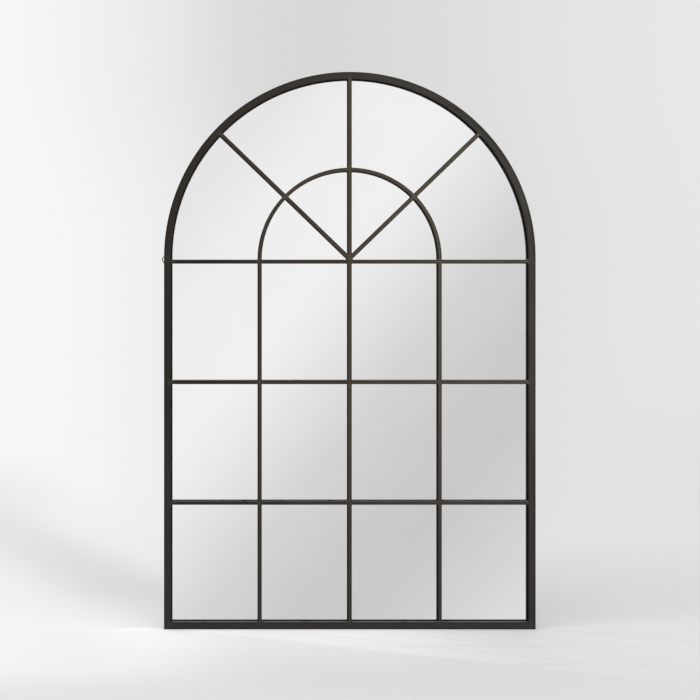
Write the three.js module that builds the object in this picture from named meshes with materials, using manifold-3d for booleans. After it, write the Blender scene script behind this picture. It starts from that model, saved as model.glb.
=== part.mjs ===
// Arched window mirror: a welded steel window frame with one sheet of mirror behind its bars.
// Millimetres. X runs to the viewer's right, Y away from the viewer, Z up.
// The origin is on the floor, under the middle of the bottom rail.

import * as THREE from 'three';
import { mergeVertices } from 'three/addons/utils/BufferGeometryUtils.js';
import Module from 'manifold-3d';

const wasm = await Module();
wasm.setup();

// ------------------------------------------------------------------ driving dimensions, mm

// Outline: a rectangle with a half circle on top of it.
const frameWidth = 1219.2;
const frameHeight = 1828.8;

// Frame tube, square in section.
const tubeSize = 25.4;
const tubeWall = 1.6;
const tubeCornerRadius = 2.6;

// Glazing bars, square in section, flush with the front of the frame.
const barSize = 12.7;
const barCornerRadius = 1.8;

// Layout of the bars.
const columns = 4;
const rows = 3;
const springBarDrop = 12.7; // centre of the top horizontal bar, below the centre of the arch
const spokeAngle = 44; // degrees above the horizontal
const spokeRise = 2.75; // point where the spokes meet, above the top of the spring bar

// Mirror and what lies behind the bars.
const tapeThickness = 1;
const tapeWidth = 8;
const tapeEndClearance = 2;
const glassThickness = 4;
const glassArris = 0.5;
const glassEdgeClearance = 2;
const boardThickness = 4;
const boardEdgeClearance = 3;
const blockLength = 60;
const blockInset = 290; // middle of each setting block, from the middle of the rail

// Retaining clips.
const clipWidth = 16;
const clipThickness = 1.2;
const clipFoot = 8; // from the screw to the outer end
const clipReach = 16; // of the tongue over the backing board
const clipEndRadius = 5;
const clipsPerStile = 3;
const lowestClip = 150; // above the floor
const highestClip = 249; // below the springing of the arch
const railClipOffset = 300; // from the middle of the rail
const archClipAngles = [30, 90, 150];

// Screws of the clips and of the hangers.
const clipScrew = { shank: 1.9, head: 4, headHeight: 2.3, length: 9 };
const hangerScrew = { shank: 2.1, head: 4.5, headHeight: 2.6, length: 12 };
const recessWidth = 1;
const recessDepth = 1.2;

// Hangers: a folded strap that holds a ring of wire.
const hangerRise = 2.8; // of the ring's pivot, above the springing of the arch
const strapWidth = 19;
const strapGauge = 1.5; // one thickness: the plate is folded double
const strapLength = 60; // from the pivot down
const strapNeck = 10; // from the pivot down to where the fold lies flat
const strapEndRadius = 6;
const strapScrewDrops = [33, 50]; // from the pivot down
const ringWire = 3;
const ringWidth = 37; // between the middles of the wire's sides
const ringCornerRadius = 6;
const ringButtGap = 0.3;

// Clearances.
const weldGap = 0.3; // between two lengths of metal at a joint
const seatGap = 0.3; // under a piece that is screwed or laid in place
const pivotGap = 0.3; // round the ring's pivot, all round
const screwGap = 0.3; // round a shank

// Smoothness.
const archSteps = 60;
const innerArchSteps = 40;
const ringSteps = 56;
const wirePoints = 4; // in half the wire's section
const curlPoints = 8; // in half the strap's curl
const cornerPoints = 1; // in half a rounded corner
const roundSegments = 12; // in a screw or a screw hole

// ------------------------------------------------------------------ places worked out from them

const archRadius = frameWidth / 2;
const springHeight = frameHeight - archRadius; // height of the arch's centre
const tubeInside = archRadius - tubeSize; // from the middle to the inner face of a stile
const frontFace = -tubeSize / 2;
const backFace = tubeSize / 2;

const barMiddleDepth = frontFace + barSize / 2;
const barBack = frontFace + barSize;
const springBarHeight = springHeight - springBarDrop;
const springBarTop = springBarHeight + barSize / 2;
const paneWidth = (2 * tubeInside - (columns - 1) * barSize) / columns;
const columnPitch = paneWidth + barSize;
const paneHeight = (springBarHeight - barSize / 2 - tubeSize - (rows - 1) * barSize) / rows;
const rowPitch = paneHeight + barSize;
const innerArchRadius = (columns / 2 - 1) * columnPitch; // it stands over the outer uprights

const glassFront = barBack + tapeThickness;
const glassBack = glassFront + glassThickness;
const boardBack = glassBack + boardThickness;
const glassRadius = tubeInside - glassEdgeClearance;
const boardRadius = tubeInside - boardEdgeClearance;
const glassFoot = tubeSize + glassEdgeClearance;

const stileMiddle = archRadius - tubeSize / 2;
const archMiddleRadius = archRadius - tubeSize / 2;
const plateThickness = 2 * strapGauge;
const hangerHeight = springHeight + hangerRise;
const pivotStandOff = plateThickness + pivotGap + ringWire / 2; // from the stile's back
const curlRadius = ringWire / 2 + pivotGap + strapGauge;

// ------------------------------------------------------------------ finishes

const patina = new THREE.MeshStandardMaterial({ color: 0x3f3b36, roughness: 0.42, metalness: 0.85 });
const silvering = new THREE.MeshStandardMaterial({ color: 0xe6e9e8, roughness: 0.03, metalness: 1 });
const foam = new THREE.MeshStandardMaterial({ color: 0x1c1c1c, roughness: 0.95, metalness: 0 });
const rubber = new THREE.MeshStandardMaterial({ color: 0x222222, roughness: 0.8, metalness: 0 });
const hardboard = new THREE.MeshStandardMaterial({ color: 0x6b4b33, roughness: 0.85, metalness: 0 });
const zincPlate = new THREE.MeshStandardMaterial({ color: 0xa9a9a4, roughness: 0.35, metalness: 0.9 });

// ------------------------------------------------------------------ solids

/** A closed geometry as a solid that can be cut and joined. */
function toSolid(geometry) {
  const bare = geometry.clone();
  bare.deleteAttribute('normal');
  bare.deleteAttribute('uv');
  const merged = mergeVertices(bare);
  const vertProperties = new Float32Array(merged.getAttribute('position').array);
  const triVerts = new Uint32Array(merged.getIndex().array);
  return new wasm.Manifold(new wasm.Mesh({ numProp: 3, vertProperties, triVerts }));
}

/** A solid as a geometry again. */
function toGeometry(solid) {
  const mesh = solid.getMesh();
  const geometry = new THREE.BufferGeometry();
  geometry.setAttribute('position', new THREE.BufferAttribute(mesh.vertProperties, 3));
  geometry.setIndex(new THREE.BufferAttribute(mesh.triVerts, 1));
  geometry.computeVertexNormals();
  return geometry;
}

/** What is left of a geometry once the cutters are taken out of it. */
function cut(geometry, cutters) {
  let solid = toSolid(geometry);
  for (const cutter of cutters) {
    solid = solid.subtract(toSolid(cutter));
  }
  return toGeometry(solid);
}

/** Several overlapping geometries as one. */
function join(geometries) {
  let solid = toSolid(geometries[0]);
  for (const geometry of geometries.slice(1)) {
    solid = solid.add(toSolid(geometry));
  }
  return toGeometry(solid);
}

/** A block big enough to take off everything on the side of a plane that its normal points to. */
function blockBeyond(plane) {
  const size = 4 * frameHeight;
  const block = new THREE.BoxGeometry(size, size, size);
  block.translate(0, 0, size / 2);
  const turn = new THREE.Quaternion().setFromUnitVectors(new THREE.Vector3(0, 0, 1), plane.normal);
  block.applyQuaternion(turn);
  const foot = plane.normal.clone().multiplyScalar(-plane.constant);
  return block.translate(foot.x, foot.y, foot.z);
}

/** A plane through a point, with its normal pointing at what is to be cut away. */
function planeAt(x, z, normalX, normalZ) {
  const normal = new THREE.Vector3(normalX, 0, normalZ).normalize();
  return new THREE.Plane().setFromNormalAndCoplanarPoint(normal, new THREE.Vector3(x, 0, z));
}

/** A rod along Y, from one depth to another. */
function rodAlongY(radius, from, to, x, z) {
  const rod = new THREE.CylinderGeometry(radius, radius, to - from, roundSegments);
  return rod.translate(x, (from + to) / 2, z);
}

// ------------------------------------------------------------------ sections and curves

/** A square with rounded corners, drawn round the origin. */
function roundedSquare(path, size, radius) {
  const flat = size / 2 - radius;
  path.absarc(flat, flat, radius, 0, Math.PI / 2);
  path.absarc(-flat, flat, radius, Math.PI / 2, Math.PI);
  path.absarc(-flat, -flat, radius, Math.PI, 1.5 * Math.PI);
  path.absarc(flat, -flat, radius, 1.5 * Math.PI, 2 * Math.PI);
  path.closePath();
  return path;
}

function tubeSection() {
  const section = roundedSquare(new THREE.Shape(), tubeSize, tubeCornerRadius);
  const bore = roundedSquare(new THREE.Path(), tubeSize - 2 * tubeWall, tubeCornerRadius - tubeWall);
  section.holes.push(bore);
  return section;
}

function barSection() {
  return roundedSquare(new THREE.Shape(), barSize, barCornerRadius);
}

/** A half circle in the XZ plane round the origin, from left to right over the top. */
class HalfCircle extends THREE.Curve {
  constructor(radius) {
    super();
    this.radius = radius;
  }

  getPoint(t, target = new THREE.Vector3()) {
    const angle = Math.PI * (1 - t);
    return target.set(this.radius * Math.cos(angle), 0, this.radius * Math.sin(angle));
  }

  getTangent(t, target = new THREE.Vector3()) {
    const angle = Math.PI * (1 - t);
    return target.set(Math.sin(angle), 0, -Math.cos(angle));
  }
}

/** A circular arc in the XZ plane, turning clockwise for someone looking along +Y. */
class ArcXZ extends THREE.Curve {
  constructor(centreX, centreZ, radius, startAngle, sweep) {
    super();
    Object.assign(this, { centreX, centreZ, radius, startAngle, sweep });
  }

  getPoint(t, target = new THREE.Vector3()) {
    const angle = this.startAngle - t * this.sweep;
    const x = this.centreX + this.radius * Math.cos(angle);
    const z = this.centreZ + this.radius * Math.sin(angle);
    return target.set(x, 0, z);
  }
}

/** A straight length of a section, from the origin up. */
function straight(section, length) {
  return new THREE.ExtrudeGeometry(section, {
    depth: length,
    bevelEnabled: false,
    curveSegments: cornerPoints,
  });
}

/** A section bent to a half circle, its ends a weld gap above the X axis. */
function bent(section, radius, steps) {
  const hoop = new THREE.ExtrudeGeometry(section, {
    extrudePath: new HalfCircle(radius),
    steps,
    curveSegments: cornerPoints,
  });
  return cut(hoop, [blockBeyond(planeAt(0, weldGap, 0, -1))]);
}

/** The outline of a sheet that fits the frame: straight sides and a round head. */
function archedOutline(radius, foot) {
  const outline = new THREE.Shape();
  outline.moveTo(-radius, foot);
  outline.lineTo(radius, foot);
  outline.lineTo(radius, springHeight);
  outline.absarc(0, springHeight, radius, 0, Math.PI);
  outline.closePath();
  return outline;
}

// ------------------------------------------------------------------ the object

const mirror = new THREE.Group();

/** Adds a piece to the object. */
function place(name, geometry, material, x = 0, y = 0, z = 0) {
  const mesh = new THREE.Mesh(geometry, material.clone());
  mesh.name = name;
  mesh.position.set(x, y, z);
  mirror.add(mesh);
  return mesh;
}

// Places of the screws in the backs of the tubes: where they are, and which way is inwards.
const clipPlaces = [];
for (let index = 0; index < clipsPerStile; index += 1) {
  const share = index / (clipsPerStile - 1);
  const z = lowestClip + share * (springHeight - highestClip - lowestClip);
  clipPlaces.push({ name: `left_${index + 1}`, on: 'left', x: -stileMiddle, z, inward: 0 });
  clipPlaces.push({ name: `right_${index + 1}`, on: 'right', x: stileMiddle, z, inward: Math.PI });
}
for (const [name, x] of [['bottom_1', -railClipOffset], ['bottom_2', railClipOffset]]) {
  clipPlaces.push({ name, on: 'rail', x, z: tubeSize / 2, inward: Math.PI / 2 });
}
for (const [index, degrees] of archClipAngles.entries()) {
  const angle = THREE.MathUtils.degToRad(degrees);
  const x = archMiddleRadius * Math.cos(angle);
  const z = springHeight + archMiddleRadius * Math.sin(angle);
  clipPlaces.push({ name: `arch_${index + 1}`, on: 'arch', x, z, inward: angle + Math.PI });
}

/** Rods that drill the screw holes through the back wall of one tube. */
function screwHoles(on) {
  const holes = [];
  const from = backFace - 2 * tubeWall;
  const to = backFace + tubeWall;
  for (const spot of clipPlaces.filter((place) => place.on === on)) {
    holes.push(rodAlongY(clipScrew.shank + screwGap, from, to, spot.x, spot.z));
  }
  const side = { left: -1, right: 1 }[on];
  if (side) {
    for (const drop of strapScrewDrops) {
      const radius = hangerScrew.shank + screwGap;
      holes.push(rodAlongY(radius, from, to, side * stileMiddle, hangerHeight - drop));
    }
  }
  return holes;
}

// ---- frame

/** The two stiles, mitred at the foot and butted against the arch at the top. */
function addStile(name, on, side) {
  const geometry = straight(tubeSection(), springHeight);
  geometry.translate(side * stileMiddle, 0, 0);
  const mitre = planeAt(side * archRadius, weldGap / Math.SQRT2, -side, -1);
  place(name, cut(geometry, [blockBeyond(mitre), ...screwHoles(on)]), patina);
}
addStile('left_stile', 'left', -1);
addStile('right_stile', 'right', 1);

/** The bottom rail, mitred at both ends. */
function addBottomRail() {
  const geometry = straight(tubeSection(), frameWidth);
  geometry.rotateY(Math.PI / 2);
  geometry.translate(-archRadius, 0, tubeSize / 2);
  const cutters = screwHoles('rail');
  for (const side of [-1, 1]) {
    cutters.push(blockBeyond(planeAt(side * archRadius, -weldGap / Math.SQRT2, side, 1)));
  }
  place('bottom_rail', cut(geometry, cutters), patina);
}
addBottomRail();

/** The arch head: the same tube, bent to a half circle. */
function addArchHead() {
  const hoop = bent(tubeSection(), archMiddleRadius, archSteps);
  hoop.translate(0, 0, springHeight);
  place('arch_head', cut(hoop, screwHoles('arch')), patina);
}
addArchHead();

// ---- glazing bars

const rowNames = ['lower', 'middle', 'upper'];
const columnNames = ['left', 'centre', 'right'];

/** Height of the middle of a horizontal bar, counted up from the bottom. */
function barHeight(row) {
  return tubeSize + row * rowPitch - barSize / 2;
}

/** The horizontal bars run through from stile to stile. */
const acrossLength = 2 * (tubeInside - weldGap);
const acrossNames = ['lower_bar', 'middle_bar', 'spring_bar'];
for (let row = 1; row <= rows; row += 1) {
  const geometry = straight(barSection(), acrossLength);
  geometry.rotateY(Math.PI / 2);
  const name = acrossNames[row - 1];
  place(name, geometry, patina, -acrossLength / 2, barMiddleDepth, barHeight(row));
}

/** The upright lengths stand between the horizontal bars. */
for (let column = 1; column < columns; column += 1) {
  const x = (column - columns / 2) * columnPitch;
  for (let row = 1; row <= rows; row += 1) {
    const foot = barHeight(row) - barSize / 2 - paneHeight + weldGap;
    const geometry = straight(barSection(), paneHeight - 2 * weldGap);
    const name = `upright_${columnNames[column - 1]}_${rowNames[row - 1]}`;
    place(name, geometry, patina, x, barMiddleDepth, foot);
  }
}

/** The inner arch springs from the top of the spring bar. */
const innerHoop = bent(barSection(), innerArchRadius, innerArchSteps);
place('inner_arch', innerHoop, patina, 0, barMiddleDepth, springBarTop);

/** Distance along a spoke, from the point where the spokes meet, to a circle round (0, z). */
function reach(radius, centreHeight, sine) {
  const below = springBarTop + spokeRise - centreHeight;
  return -below * sine + Math.sqrt(radius * radius - below * below * (1 - sine * sine));
}

/** One spoke: an inner length up to the inner arch, and an outer length on to the arch head. */
function addSpoke(name, lean, innerCuts) {
  const sine = Math.cos(lean);
  const archInside = reach(innerArchRadius - barSize / 2, springBarTop, sine) - weldGap;
  const archOutside = reach(innerArchRadius + barSize / 2, springBarTop, sine) + weldGap;
  const headInside = reach(tubeInside, springHeight, sine) - weldGap;
  const foot = -barSize;

  const inner = place(`${name}_inner`, straight(barSection(), archInside - foot), patina);
  inner.geometry.translate(0, 0, foot);
  const outer = place(`${name}_outer`, straight(barSection(), headInside - archOutside), patina);
  outer.geometry.translate(0, 0, archOutside);
  for (const piece of [inner, outer]) {
    piece.position.set(0, barMiddleDepth, springBarTop + spokeRise);
    piece.rotation.y = lean;
    piece.updateMatrix();
  }
  const toLocal = inner.matrix.clone().invert();
  const blocks = innerCuts.map((plane) => blockBeyond(plane.clone().applyMatrix4(toLocal)));
  inner.geometry = cut(inner.geometry, blocks);
}
const springBarCut = planeAt(0, springBarTop + weldGap, 0, -1);
const spokeLean = THREE.MathUtils.degToRad(90 - spokeAngle);
addSpoke('spoke_centre', 0, [springBarCut]);
for (const [name, side] of [['spoke_left', -1], ['spoke_right', 1]]) {
  const centreCut = planeAt(side * (barSize / 2 + weldGap), 0, -side, 0);
  addSpoke(name, side * spokeLean, [springBarCut, centreCut]);
}

// ---- tape, mirror, blocks and backing board

/** Foam tape behind every bar, crossing where the bars cross. */
function addTape() {
  const length = 2 * (tubeInside - tapeEndClearance);
  const strips = [];
  for (let row = 1; row <= rows; row += 1) {
    const across = new THREE.BoxGeometry(length, tapeThickness, tapeWidth);
    strips.push(across.translate(0, 0, barHeight(row)));
  }
  const foot = tubeSize + tapeEndClearance;
  const uprightLength = springBarHeight - foot;
  for (let column = 1; column < columns; column += 1) {
    const upright = new THREE.BoxGeometry(tapeWidth, tapeThickness, uprightLength);
    const x = (column - columns / 2) * columnPitch;
    strips.push(upright.translate(x, 0, foot + uprightLength / 2));
  }
  const outside = innerArchRadius + tapeWidth / 2;
  const inside = innerArchRadius - tapeWidth / 2;
  const band = new THREE.Shape();
  band.moveTo(outside, -barSize / 2);
  band.absarc(0, 0, outside, 0, Math.PI);
  band.lineTo(-outside, -barSize / 2);
  band.lineTo(-inside, -barSize / 2);
  band.absarc(0, 0, inside, Math.PI, 0, true);
  band.lineTo(inside, -barSize / 2);
  band.closePath();
  const round = new THREE.ExtrudeGeometry(band, {
    depth: tapeThickness,
    bevelEnabled: false,
    curveSegments: innerArchSteps / 2,
  });
  round.rotateX(Math.PI / 2).translate(0, tapeThickness / 2, springBarTop);
  strips.push(round);
  for (const lean of [-spokeLean, 0, spokeLean]) {
    const end = reach(tubeInside, springHeight, Math.cos(lean)) - 2 * tapeEndClearance;
    const spoke = new THREE.BoxGeometry(tapeWidth, tapeThickness, end);
    spoke.translate(0, 0, end / 2).rotateY(lean);
    strips.push(spoke.translate(0, 0, springBarTop + spokeRise));
  }
  place('glazing_tape', join(strips), foam, 0, barBack + tapeThickness / 2, 0);
}
addTape();

/** The mirror: one sheet with ground edges, silvered on its back. */
function addGlass() {
  const geometry = new THREE.ExtrudeGeometry(archedOutline(glassRadius, glassFoot), {
    depth: glassThickness - 2 * glassArris,
    bevelThickness: glassArris,
    bevelSize: glassArris,
    bevelOffset: -glassArris,
    bevelSegments: 1,
    curveSegments: archSteps / 2,
  });
  geometry.rotateX(Math.PI / 2);
  place('mirror_glass', geometry, silvering, 0, glassBack - glassArris, 0);
}
addGlass();

/** The backing board lies on the mirror's back and stands on the same blocks. */
function addBoard() {
  const geometry = new THREE.ExtrudeGeometry(archedOutline(boardRadius, glassFoot), {
    depth: boardThickness,
    bevelEnabled: false,
    curveSegments: archSteps / 2,
  });
  geometry.rotateX(Math.PI / 2);
  place('backing_board', geometry, hardboard, 0, boardBack, 0);
}
addBoard();

/** Rubber blocks on the rail carry the mirror and the board. */
for (const [name, side] of [['setting_block_left', -1], ['setting_block_right', 1]]) {
  const depth = glassThickness + boardThickness;
  const block = new THREE.BoxGeometry(blockLength, depth, glassEdgeClearance);
  const y = glassFront + depth / 2;
  place(name, block, rubber, side * blockInset, y, tubeSize + glassEdgeClearance / 2);
}

// ---- screws

/** A pan head screw along Y: its head's underside at y = 0, its shank towards -Y. */
function screwGeometry({ shank, head, headHeight, length }) {
  const points = [
    [0, -length],
    [shank, shank - length],
    [shank, 0],
    [head, 0],
    [head, headHeight * 0.45],
    [head * 0.86, headHeight * 0.8],
    [head * 0.55, headHeight],
    [0, headHeight],
  ];
  const profile = points.map(([radius, y]) => new THREE.Vector2(radius, y));
  const body = new THREE.LatheGeometry(profile, roundSegments);
  const slotLength = 1.15 * head;
  const recess = [
    new THREE.BoxGeometry(slotLength, 2 * recessDepth, recessWidth).translate(0, headHeight, 0),
    new THREE.BoxGeometry(recessWidth, 2 * recessDepth, slotLength).translate(0, headHeight, 0),
  ];
  return cut(body, recess);
}

// ---- clips

/** A clip along X: its foot on the tube's back, then down behind the board's edge. */
function clipGeometry() {
  const high = seatGap;
  const low = boardBack - backFace + seatGap;
  const stepStart = tubeSize / 2 + screwGap;
  const stepEnd = stepStart + boardEdgeClearance;
  const tip = stepEnd + clipReach;
  const slope = clipThickness * 0.5;
  const profile = new THREE.Shape();
  profile.moveTo(-clipFoot, high);
  profile.lineTo(stepStart, high);
  profile.lineTo(stepEnd, low);
  profile.lineTo(tip, low);
  profile.lineTo(tip, low + clipThickness);
  profile.lineTo(stepEnd + slope, low + clipThickness);
  profile.lineTo(stepStart + slope, high + clipThickness);
  profile.lineTo(-clipFoot, high + clipThickness);
  profile.closePath();
  const strip = new THREE.ExtrudeGeometry(profile, { depth: clipWidth, bevelEnabled: false });
  strip.translate(0, 0, -clipWidth / 2);

  const outline = new THREE.Shape();
  const halfWidth = clipWidth / 2;
  outline.absarc(tip - clipEndRadius, halfWidth - clipEndRadius, clipEndRadius, 0, Math.PI / 2);
  outline.absarc(clipEndRadius - clipFoot, halfWidth - clipEndRadius, clipEndRadius, Math.PI / 2, Math.PI);
  outline.absarc(clipEndRadius - clipFoot, clipEndRadius - halfWidth, clipEndRadius, Math.PI, 1.5 * Math.PI);
  outline.absarc(tip - clipEndRadius, clipEndRadius - halfWidth, clipEndRadius, 1.5 * Math.PI, 2 * Math.PI);
  outline.closePath();
  const blank = new THREE.ExtrudeGeometry(outline, {
    depth: tubeSize,
    bevelEnabled: false,
    curveSegments: 2,
  });
  blank.translate(0, 0, -tubeSize / 2).rotateX(Math.PI / 2);
  const hole = rodAlongY(clipScrew.shank + screwGap, -tubeSize, tubeSize, 0, 0);
  return toGeometry(toSolid(strip).intersect(toSolid(blank)).subtract(toSolid(hole)));
}

for (const spot of clipPlaces) {
  const clip = place(`clip_${spot.name}`, clipGeometry(), zincPlate, spot.x, backFace, spot.z);
  clip.rotation.y = -spot.inward;
  const headSeat = backFace + 2 * seatGap + clipThickness;
  const screw = screwGeometry(clipScrew);
  place(`clip_screw_${spot.name}`, screw, zincPlate, spot.x, headSeat, spot.z);
}

// ---- hangers

/** The strap: a doubled plate with a curl at its top, which holds the ring's pivot. */
function strapGeometry() {
  const profile = new THREE.Shape();
  const neckAngle = Math.PI / 5;
  profile.moveTo(0, -strapLength);
  profile.lineTo(plateThickness, -strapLength);
  profile.lineTo(plateThickness, -strapNeck);
  profile.absarc(pivotStandOff, 0, curlRadius, -neckAngle, Math.PI);
  profile.lineTo(0, -strapNeck);
  profile.closePath();
  const bore = new THREE.Path();
  bore.absarc(pivotStandOff, 0, ringWire / 2 + pivotGap, 0, 2 * Math.PI);
  profile.holes.push(bore);
  const strip = new THREE.ExtrudeGeometry(profile, {
    depth: strapWidth,
    bevelEnabled: false,
    curveSegments: curlPoints,
  });
  strip.translate(0, 0, -strapWidth / 2);
  // The profile was drawn in XY: turn it so that its X is the depth and its Y is the height.
  strip.applyMatrix4(new THREE.Matrix4().set(
    0, 0, 1, 0,
    1, 0, 0, 0,
    0, 1, 0, 0,
    0, 0, 0, 1,
  ));

  const top = pivotStandOff + curlRadius;
  const outline = new THREE.Shape();
  const halfWidth = strapWidth / 2;
  const lowRow = strapEndRadius - strapLength;
  outline.moveTo(halfWidth, top);
  outline.lineTo(-halfWidth, top);
  outline.absarc(strapEndRadius - halfWidth, lowRow, strapEndRadius, Math.PI, 1.5 * Math.PI);
  outline.absarc(halfWidth - strapEndRadius, lowRow, strapEndRadius, 1.5 * Math.PI, 2 * Math.PI);
  outline.closePath();
  const blank = new THREE.ExtrudeGeometry(outline, {
    depth: 2 * tubeSize,
    bevelEnabled: false,
    curveSegments: 3,
  });
  blank.rotateX(Math.PI / 2).translate(0, tubeSize, 0);
  let solid = toSolid(strip).intersect(toSolid(blank));
  for (const drop of strapScrewDrops) {
    const hole = rodAlongY(hangerScrew.shank + screwGap, -tubeSize, tubeSize, 0, -drop);
    solid = solid.subtract(toSolid(hole));
  }
  return toGeometry(solid);
}

/** The ring: wire bent to a D, its ends butted in the middle of the straight side. */
function ringGeometry() {
  const half = ringWidth / 2;
  const corner = ringCornerRadius;
  const quarter = Math.PI / 2;
  const point = (x, z) => new THREE.Vector3(x, 0, z);
  const path = new THREE.CurvePath();
  path.add(new THREE.LineCurve3(point(ringButtGap / 2, 0), point(half - corner, 0)));
  path.add(new ArcXZ(half - corner, -corner, corner, quarter, quarter));
  path.add(new ArcXZ(0, -corner, half, 0, Math.PI));
  path.add(new ArcXZ(corner - half, -corner, corner, Math.PI, quarter));
  path.add(new THREE.LineCurve3(point(corner - half, 0), point(-ringButtGap / 2, 0)));
  const wire = new THREE.Shape();
  wire.absarc(0, 0, ringWire / 2, 0, 2 * Math.PI);
  return new THREE.ExtrudeGeometry(wire, {
    extrudePath: path,
    steps: ringSteps,
    curveSegments: wirePoints,
  });
}

for (const [name, side] of [['left', -1], ['right', 1]]) {
  const x = side * stileMiddle;
  const strap = strapGeometry();
  place(`hanger_strap_${name}`, strap, zincPlate, x, backFace + weldGap, hangerHeight);
  const pivotDepth = backFace + weldGap + pivotStandOff;
  place(`d_ring_${name}`, ringGeometry(), zincPlate, x, pivotDepth, hangerHeight);
  for (const [index, drop] of strapScrewDrops.entries()) {
    const headSeat = backFace + weldGap + plateThickness + seatGap;
    const screw = screwGeometry(hangerScrew);
    place(`hanger_screw_${name}_${index + 1}`, screw, zincPlate, x, headSeat, hangerHeight - drop);
  }
}

export default mirror;
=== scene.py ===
# %% [markdown]
# # An arched window mirror
#
# The object is a tall mirror behind a welded steel grid, made like an old arched window.
# A square tube forms the outside, thin square bars divide it, and one arched sheet of
# mirror lies behind the bars. On the back are a board, small clips and two hangers.
# The measured model comes first: it fixes where every piece goes, and it is never moved.

# %% Load the measured model
import math

import bmesh
import bpy
import numpy as np
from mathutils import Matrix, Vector


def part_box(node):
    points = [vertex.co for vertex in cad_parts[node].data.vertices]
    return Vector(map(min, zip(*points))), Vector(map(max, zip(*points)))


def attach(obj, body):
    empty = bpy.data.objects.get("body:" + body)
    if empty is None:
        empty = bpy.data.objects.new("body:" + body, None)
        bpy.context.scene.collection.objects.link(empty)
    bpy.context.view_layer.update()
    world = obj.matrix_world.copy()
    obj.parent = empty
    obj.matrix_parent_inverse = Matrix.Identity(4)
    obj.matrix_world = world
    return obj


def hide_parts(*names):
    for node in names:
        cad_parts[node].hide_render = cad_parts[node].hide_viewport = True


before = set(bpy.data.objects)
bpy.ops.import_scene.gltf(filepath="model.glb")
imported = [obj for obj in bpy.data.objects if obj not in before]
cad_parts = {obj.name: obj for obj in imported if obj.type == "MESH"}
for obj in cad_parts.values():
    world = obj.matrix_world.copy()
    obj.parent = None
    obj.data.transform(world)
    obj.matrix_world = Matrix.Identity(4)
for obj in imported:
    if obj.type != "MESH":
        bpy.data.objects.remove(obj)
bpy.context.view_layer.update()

print("measured pieces:", len(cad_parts))

# %% [markdown]
# ## Measures
#
# Blender works in metres, but a maker thinks in millimetres, so every shape below is
# worked out in millimetres and shrunk once, when its mesh is made. The heights of the
# bars are read from the measured model, so they can't drift away from it.

# %% Measures in millimetres
MILLIMETRE = 0.001
HALF_WIDTH = 609.6
HEIGHT = 1828.8
TUBE = 25.4
TUBE_CORNER = 2.6
BAR = 12.7
BAR_CORNER = 1.8
SPRINGING = HEIGHT - HALF_WIDTH
INSIDE = HALF_WIDTH - TUBE
TUBE_MIDDLE = HALF_WIDTH - TUBE / 2
FRONT = -TUBE / 2
BACK = TUBE / 2
BAR_BACK = FRONT + BAR
# Pieces that rest on each other are drawn this far apart.
CLEARANCE = 0.3


def span(node):
    """Lowest and highest corner of a measured piece, in millimetres."""
    return [Vector(corner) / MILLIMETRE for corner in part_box(node)]


def middle(node):
    low, high = span(node)
    return (low + high) / 2


ROW_HEIGHTS = [middle(name).z for name in ("lower_bar", "middle_bar", "spring_bar")]
COLUMN_PLACES = [middle(f"upright_{name}_lower").x for name in ("left", "centre", "right")]
SPRING_TOP = ROW_HEIGHTS[2] + BAR / 2
HOOP_RADIUS = COLUMN_PLACES[2]
SPOKE_RISE = 2.75
SPOKE_LEAN = 44.0
HUB = (0.0, SPRING_TOP + SPOKE_RISE)
SPOKE_ANGLES = {"right": SPOKE_LEAN, "centre": 90.0, "left": 180.0 - SPOKE_LEAN}
print("bar heights:", [round(z, 2) for z in ROW_HEIGHTS])
print("upright places:", [round(x, 2) for x in COLUMN_PLACES])

# %% [markdown]
# ## Sums on shader sockets
#
# A finish is a small sum: so much dark brown, a little grey where the noise is high.
# Wiring that by hand takes many lines, so one class wraps a socket. Adding or
# multiplying two of them adds the Math node that does the same.

# %% A socket that can be used in sums


class Wire:
    """One output of a shader node."""

    def __init__(self, tree, socket=None):
        self.tree = tree
        self.socket = socket

    def node(self, kind, settings=None, inputs=None, output=0):
        """Adds a node: its settings first, then the values or links of its sockets."""
        made = self.tree.nodes.new(kind)
        for name, value in (settings or {}).items():
            if name == "stops":
                place_stops(made.color_ramp, value)
            else:
                setattr(made, name, value)
        for name, value in (inputs or {}).items():
            if isinstance(value, Wire):
                self.tree.links.new(value.socket, made.inputs[name])
            else:
                made.inputs[name].default_value = value
        return Wire(self.tree, made.outputs[output] if len(made.outputs) else None)

    def maths(self, operation, *values):
        return self.node("ShaderNodeMath", {"operation": operation}, dict(enumerate(values)))

    def __add__(self, other):
        return self.maths("ADD", self, other)

    def __radd__(self, other):
        return self.maths("ADD", other, self)

    def __sub__(self, other):
        return self.maths("SUBTRACT", self, other)

    def __rsub__(self, other):
        return self.maths("SUBTRACT", other, self)

    def __mul__(self, other):
        return self.maths("MULTIPLY", self, other)

    def __rmul__(self, other):
        return self.maths("MULTIPLY", other, self)

    def __truediv__(self, other):
        return self.maths("DIVIDE", self, other)

    def __rtruediv__(self, other):
        return self.maths("DIVIDE", other, self)

    def __neg__(self):
        return self.maths("MULTIPLY", self, -1)

    def __abs__(self):
        return self.maths("ABSOLUTE", self)


def place_stops(colour_ramp, stops):
    """Puts (position, colour) stops on a colour ramp."""
    while len(colour_ramp.elements) < len(stops):
        colour_ramp.elements.new(0.5)
    for element, (position, colour) in zip(colour_ramp.elements, stops):
        element.position = position
        element.color = colour


print("sums that a socket can stand in: + - * / abs")

# %% Colours and common nodes


def tone(red, green=None, blue=None):
    """A screen colour from 0 to 255, as the linear colour that a shader takes."""
    levels = [red, red if green is None else green, red if blue is None else blue]
    linear = [
        (v / 255 / 12.92) if v <= 10 else ((v / 255 + 0.055) / 1.055) ** 2.4 for v in levels
    ]
    return (*linear, 1.0)


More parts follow.
